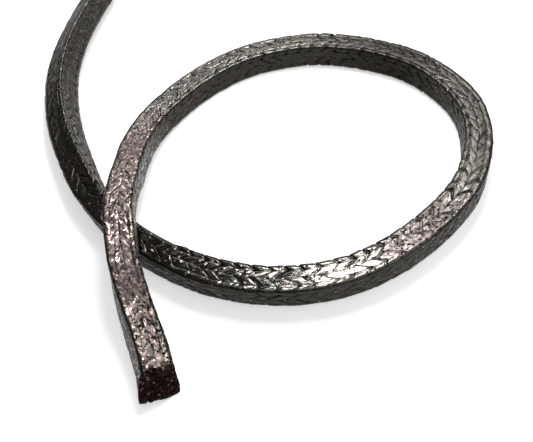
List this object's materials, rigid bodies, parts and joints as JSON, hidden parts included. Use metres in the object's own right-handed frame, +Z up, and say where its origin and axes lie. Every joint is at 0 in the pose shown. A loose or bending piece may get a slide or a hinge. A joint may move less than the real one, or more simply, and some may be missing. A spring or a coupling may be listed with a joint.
{
  "type": "braided gland packing length",
  "caption": "Square braided graphite gland packing, cut from the reel and laid in one loose loop that crosses itself.",
  "frame": {"origin": "on the surface the cord lies on, under the middle of its box", "axes": "+Z up, +Y away from the cut end, towards the plain end, +X towards the loop's far side"},
  "size_m": [0.2143, 0.2662, 0.0256],
  "materials": {
    "braided_graphite": "plaited graphite foil yarn, rolled flat on four faces, metallic dark grey with bright glints and dark slots"
  },
  "bodies": {
    "root": {"braided_packing": "braided_graphite"}
  },
  "joints": []
}
